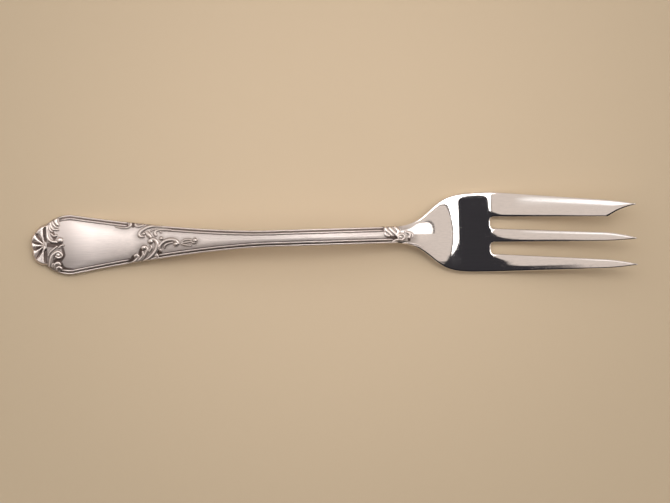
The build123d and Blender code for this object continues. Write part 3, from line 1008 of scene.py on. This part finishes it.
class FORK_OT_ornaments(bpy.types.Operator):
    """Make the raised scrolls, leaves and sprays with the sunk ground between them"""

    bl_idname = "fork.ornaments"
    bl_label = "Scrolls and leaves"

    def execute(self, context):
        o = context.scene.fork_ornament
        skirts_round = 3
        for node, lines in ORNAMENTS.items():
            ridges = SHOULDER_RIDGES if node == "neck_volute" else ()
            spots = np.vstack([smooth_line(*line)[0] for line in lines + ridges])
            margin = skirts_round * o.skirt
            low, high = spots.min(axis=0) - margin, spots.max(axis=0) + margin
            low[0] = max(low[0], X_SHELL)
            counts = np.ceil((high - low) / o.patch_step).astype(int)
            bm = new_bmesh("rise", "ornament_gap")
            verts, rows, columns = grid_sheet(bm, *(int(count) for count in counts))
            x = low[0] + (high[0] - low[0]) * rows / counts[0]
            y = low[1] + (high[1] - low[1]) * columns / counts[1]
            inset = half_width(x) - np.abs(y)
            lift, rise = relief(x, y, lines + ridges)
            ground = face_height(x, y) - rounding(inset, form().handle_edge) + o.lie
            place(verts, x, y, ground + lift * np.sqrt(np.clip(inset / o.skirt, 0, 1)))
            mark(bm, verts, "rise", rise)
            gap = gap_to_lines(x, y, lines)
            mark(bm, verts, "ornament_gap", ornament_gap(x, y))
            kept = ((gap < o.skirt) | (rise > 0)) & (inset > o.lie)
            bm.verts.index_update()
            bare = [face for face in bm.faces if not all(kept[vert.index] for vert in face.verts)]
            bmesh.ops.delete(bm, geom=bare, context="FACES")
            add_foot(bm, list(bm.faces))
            metal = ornament_silver(bright=node in BRIGHT_ORNAMENTS)
            finish_piece(bm, "silver_" + node, [node], metal)
        return {"FINISHED"}


class FORK_OT_shell(bpy.types.Operator):
    """Make the fluted shell that ends the handle"""

    bl_idname = "fork.shell"
    bl_label = "Shell"

    def execute(self, context):
        o = context.scene.fork_ornament
        radius = X_SHELL - X_END
        half = half_width(np.array([X_SHELL]))[0]
        turns, rings, merge_gap = 240, 44, 0.0001 * MM
        rim_start, rim_drop, hub_tarnish = 0.88, 0.9, 0.6
        bm = new_bmesh("rise")
        verts, rows, columns = grid_sheet(bm, turns, rings)
        sheet = list(bm.faces)
        turn = pi * (rows / turns - 0.5)
        out = np.sin(pi / 2 * columns / rings)
        lobe = np.abs(np.cos(o.shell_lobes * (turn + pi / 2) / 2 + pi / 2))
        spread = radius + (half - radius) * np.sin(turn) ** 2 - o.scallop_depth * (1 - lobe)
        x = X_SHELL - spread * np.cos(turn) * out
        y = spread * np.sin(turn) * out
        flute, crest = self.flutes(x, y, out)
        near_rim = np.clip((out - rim_start) / (1 - rim_start), 0, 1)
        dome = (SHELL_TOP - o.rim_foot) * (1 - np.sqrt(1 - near_rim**2)) * rim_drop
        place(verts, x, y, SHELL_TOP - o.flute_depth * flute - o.rib_round * (1 - crest) - dome)
        hub = np.clip(1 - np.hypot(X_SHELL - o.hub_setback - x, y) / o.hub_radius, 0, 1)
        # Tarnish and painted shade in the flutes, tarnish on the hub
        mark(bm, verts, "rise", 1 - np.maximum(o.flute_tarnish_and_shade * flute, hub_tarnish * np.sqrt(hub)))
        under = add_underside(bm, sheet)
        x, y, _ = places(under)
        away = 1 - o.rim_inset / radius
        place(under, X_SHELL + (x - X_SHELL) * away, y * away, np.zeros_like(x))
        bmesh.ops.remove_doubles(bm, verts=bm.verts, dist=merge_gap)
        metal = ornament_silver(bright=False)
        finish_piece(bm, "silver_terminal_shell", ["terminal_shell"], metal)
        return {"FINISHED"}

    @staticmethod
    def flutes(x, y, out):
        """Depth of the flutes and height of the ribs, each as a share, in teardrops round the hub."""
        o = bpy.context.scene.fork_ornament
        opening_power, end_power, side_stretch, rim_share, fade = 0.6, 4, 0.3, 0.93, 3
        least_out, least_width = 0.01, 0.001 * MM
        hub_x = X_SHELL - o.hub_setback
        from_hub = np.hypot(hub_x - x, y)
        pitch = pi / o.shell_lobes
        turn = np.clip(np.arctan2(y, hub_x - x) + pi / 2, 0, pi)
        off_valley = turn - np.round(turn / pitch) * pitch
        opening = np.clip((from_hub - o.flute_start) / o.flute_run, 0, 1) ** opening_power
        stretch = 1 + side_stretch * np.sin(turn - pi / 2) ** end_power
        end = np.minimum(o.flute_end * stretch, from_hub / np.maximum(out, least_out) * rim_share)
        closing = np.sqrt(np.clip((end - from_hub) / o.flute_round, 0, 1))
        width = np.maximum(o.flute_half * opening * closing, least_width)
        flute = np.sqrt(np.clip(1 - (from_hub * np.sin(off_valley) / width) ** 2, 0, 1))
        flute = flute * np.clip(fade * opening * closing, 0, 1)
        crest = np.clip(np.abs(off_valley) / (pitch / 2), 0, 1)
        return flute, np.sin(pi / 2 * crest)


def product(tree, first, *others):
    """Product of masks and plain numbers."""
    for other in others:
        first = calc(tree, "MULTIPLY", first, other)
    return first


def hood_edge(tree, y, half, start, slope, most):
    """Half width of the hood on one side, which grows towards the front until it is at its most."""
    growth = calc(tree, "MAXIMUM", calc(tree, "SUBTRACT", start, y), 0.0)
    return calc(tree, "MINIMUM", calc(tree, "MULTIPLY_ADD", growth, slope, half), most)


def step(tree, value, start, end):
    """A smooth rise from 0 to 1, or a fall where the end is lower than the start."""
    if start < end:
        return map_range(tree, value, (start, end), RISE)
    return map_range(tree, value, (end, start), FALL)


def thin(tree, value, middle, width):
    """1 within a third of a line's width from its middle, fading to 0 at the width."""
    apart = calc(tree, "ABSOLUTE", calc(tree, "SUBTRACT", value, middle))
    return step(tree, apart, width, width / 3)


def ramp(tree, value, stops):
    """Colours at stops from -1 to 1, blended between them."""
    share_along = calc(tree, "MULTIPLY_ADD", value, 0.5, 0.5)
    node = add_node(tree, "ShaderNodeValToRGB", Fac=share_along)
    elements = node.color_ramp.elements
    while len(elements) < len(stops):
        elements.new(0.5)
    for element, (spot, tint) in zip(elements, stops):
        element.position = spot / 2 + 0.5
        element.color = (*tint, 1.0)
    return node.outputs["Color"]


# Left and right edges of the white cards, as x parts of directions in the sky
CARD_LEFT, CARD_RIGHT = -0.25, 0.355


def hood_mask(tree, x, y):
    """Dark hood overhead: round at the back, and wider towards the front."""
    middle, half, depth = 0.02, 0.262, 0.148
    squareness, roundness = 4.0, 2.0
    left_half = hood_edge(tree, y, half, start=0.05, slope=0.9, most=0.4)
    right_half = hood_edge(tree, y, half, start=-0.015, slope=2.2, most=0.385)
    to_left = calc(tree, "DIVIDE", calc(tree, "SUBTRACT", middle, x), left_half)
    to_right = calc(tree, "DIVIDE", calc(tree, "SUBTRACT", x, middle), right_half)
    across = calc(tree, "POWER", calc(tree, "MAXIMUM", to_left, to_right), squareness)
    behind = calc(tree, "DIVIDE", calc(tree, "MAXIMUM", y, 0.0), depth)
    outward = calc(tree, "ADD", across, calc(tree, "POWER", behind, roundness))
    return step(tree, outward, start=1.12, end=0.9)


def card_masks(tree, x, y):
    """White cards on both sides of the hood, and the thin shadows at their far edges."""
    flare, flare_end, edge = 0.4, 0.16, 0.006
    off_middle = calc(tree, "ABSOLUTE", y)
    flared = calc(tree, "MINIMUM", off_middle, flare_end)
    past_left = calc(tree, "SUBTRACT", x, CARD_LEFT)
    past_right = calc(tree, "SUBTRACT", x, calc(tree, "MULTIPLY_ADD", flared, flare, CARD_RIGHT))
    cards = product(
        tree,
        step(tree, past_left, start=-edge, end=0.0),
        step(tree, past_right, start=0.0, end=-edge),
        step(tree, y, start=-0.12, end=-0.08),
        step(tree, y, start=0.5, end=0.3),
    )
    left_faintness = 0.5
    left_seam = product(
        tree,
        thin(tree, past_left, middle=-0.012, width=0.008),
        step(tree, y, start=0.0, end=0.02),
        step(tree, y, start=0.3, end=0.2),
        left_faintness,
    )
    right_line = thin(tree, past_right, middle=0.008, width=0.011)
    right_seam = product(tree, right_line, step(tree, off_middle, start=0.16, end=0.13))
    return cards, calc(tree, "MAXIMUM", left_seam, right_seam)


def far_card_mask(tree, x, y):
    """White card beyond the handle, behind the fork."""
    return product(
        tree,
        step(tree, x, start=-0.358, end=-0.378),
        step(tree, y, start=0.045, end=0.08),
        step(tree, y, start=0.7, end=0.5),
    )


def lamp_masks(tree, x, y):
    """Lamp far along the fork, which shows in the neck, and the thin shadow at its edge."""
    place_along, lean, edge = 0.563, -0.25, 0.006
    past_lamp = calc(tree, "SUBTRACT", x, calc(tree, "MULTIPLY_ADD", y, lean, place_along))
    above = product(tree, step(tree, y, start=0.0, end=edge), step(tree, y, start=0.3, end=0.2))
    lamp = product(tree, step(tree, past_lamp, start=0.0, end=edge), above)
    line = thin(tree, past_lamp, middle=-0.007, width=0.008)
    near_middle = step(tree, calc(tree, "ABSOLUTE", y), start=0.18, end=0.15)
    return lamp, product(tree, line, near_middle, above)


def studio_sky(context):
    """Pale studio, bright behind and dark in front, with a dark hood between white cards overhead.

    The sky is drawn by the x and y parts of its directions. Seen from straight above, a polished
    face mirrors what lies twice as far from overhead as the face is tilted.
    """
    look = context.scene.fork_stage
    card_dim, card_full = 0.85, 1.25
    wall_tones = ((-1.0, 0.8), (-0.45, 1.0), (0.55, 1.0), (0.7, 1.25), (1.0, 1.2))
    depth_tones = (
        (-1.0, 0.9),
        (-0.8, 0.7),
        (-0.62, 0.1),
        (-0.42, 0.16),
        (-0.34, 0.88),
        (-0.05, 1.0),
        (0.5, 1.0),
        (1.0, 0.9),
    )
    world = bpy.data.worlds.new("studio")
    context.scene.world = world
    world.use_nodes = True
    tree = world.node_tree
    sky = tree.nodes["Background"]
    direction = add_node(tree, "ShaderNodeTexCoord").outputs["Generated"]
    parts = add_node(tree, "ShaderNodeSeparateXYZ", Vector=direction)
    x, y = parts.outputs["X"], parts.outputs["Y"]
    cards, card_seams = card_masks(tree, x, y)
    lamp, lamp_seam = lamp_masks(tree, x, y)
    along_cards = step(tree, x, start=CARD_LEFT, end=CARD_RIGHT)
    card_tint = mix_colour(tree, along_cards, toned(look.cards, card_dim), toned(look.cards, card_full))
    walls = ramp(tree, x, [(spot, toned(look.walls, tone)) for spot, tone in wall_tones])
    tint = mix_colour(tree, far_card_mask(tree, x, y), walls, look.far_card)
    tint = mix_colour(tree, cards, tint, card_tint)
    tint = mix_colour(tree, lamp, tint, look.lamp)
    tint = mix_colour(tree, calc(tree, "MAXIMUM", card_seams, lamp_seam), tint, look.seam)
    tint = mix_colour(tree, hood_mask(tree, x, y), tint, look.hood)
    feed(tree, sky.inputs["Color"], tint)
    depth = ramp(tree, y, [(spot, (tone, tone, tone)) for spot, tone in depth_tones])
    feed(tree, sky.inputs["Strength"], product(tree, depth, look.sky_strength))


class FORK_OT_stage(bpy.types.Operator):
    """Make the table, the studio light and the camera"""

    bl_idname = "fork.stage"
    bl_label = "Stage"

    def execute(self, context):
        look = context.scene.fork_stage
        cells = 8
        bm = bmesh.new()
        bmesh.ops.create_grid(bm, x_segments=cells, y_segments=cells, size=look.table_size / 2)
        table = add_mesh(bm, "table", tan_paper())
        studio_sky(context)
        light = bpy.data.lights.new("soft_light", "AREA")
        light.size = look.key_size
        light.energy = look.key_strength
        lamp = add_object("soft_light", light)
        lamp.location = (0.0, look.key_setback, look.key_height)
        lamp.rotation_euler = (-atan2(look.key_setback, look.key_height), 0.0, 0.0)
        lamp.visible_camera = False
        lamp.visible_glossy = False
        camera = bpy.data.cameras.new("camera")
        camera.lens = look.lens
        stand = add_object("camera", camera)
        height = look.view_width * look.lens / camera.sensor_width
        stand.location = (look.view_x, look.view_y, height)
        stand.rotation_euler = (0.0, 0.0, -look.view_turn)
        context.scene.camera = stand
        context.scene.view_settings.view_transform = "Standard"
        return {"FINISHED"}


class FORK_PT_sidebar(bpy.types.Panel):
    """Buttons that make the fork's pieces"""

    bl_idname = "FORK_PT_sidebar"
    bl_label = "Pastry Fork"
    bl_space_type = "VIEW_3D"
    bl_region_type = "UI"
    bl_category = "Fork"

    def draw(self, context):
        for operator in OPERATORS:
            self.layout.operator(operator.bl_idname)


OPERATORS = (FORK_OT_stage, FORK_OT_handle, FORK_OT_head, FORK_OT_shell, FORK_OT_threads, FORK_OT_ornaments)
GROUPS = {
    "fork_form": ForkForm,
    "fork_ornament": OrnamentForm,
    "fork_silver": SilverLook,
    "fork_stage": StageLook,
}


def register():
    """Register the sizes and looks, the operators and the sidebar."""
    for group in GROUPS.values():
        bpy.utils.register_class(group)
    for name, group in GROUPS.items():
        setattr(bpy.types.Scene, name, PointerProperty(type=group))
    for operator in OPERATORS:
        bpy.utils.register_class(operator)
    bpy.utils.register_class(FORK_PT_sidebar)


def unregister():
    """Take back what register adds."""
    bpy.utils.unregister_class(FORK_PT_sidebar)
    for operator in reversed(OPERATORS):
        bpy.utils.unregister_class(operator)
    for name in GROUPS:
        delattr(bpy.types.Scene, name)
    for group in reversed(GROUPS.values()):
        bpy.utils.unregister_class(group)


def main():
    """Make the stage and every piece."""
    register()
    bpy.ops.fork.stage()
    bpy.ops.fork.handle()
    bpy.ops.fork.head()
    bpy.ops.fork.shell()
    bpy.ops.fork.threads()
    bpy.ops.fork.ornaments()


if __name__ == "__main__":
    main()
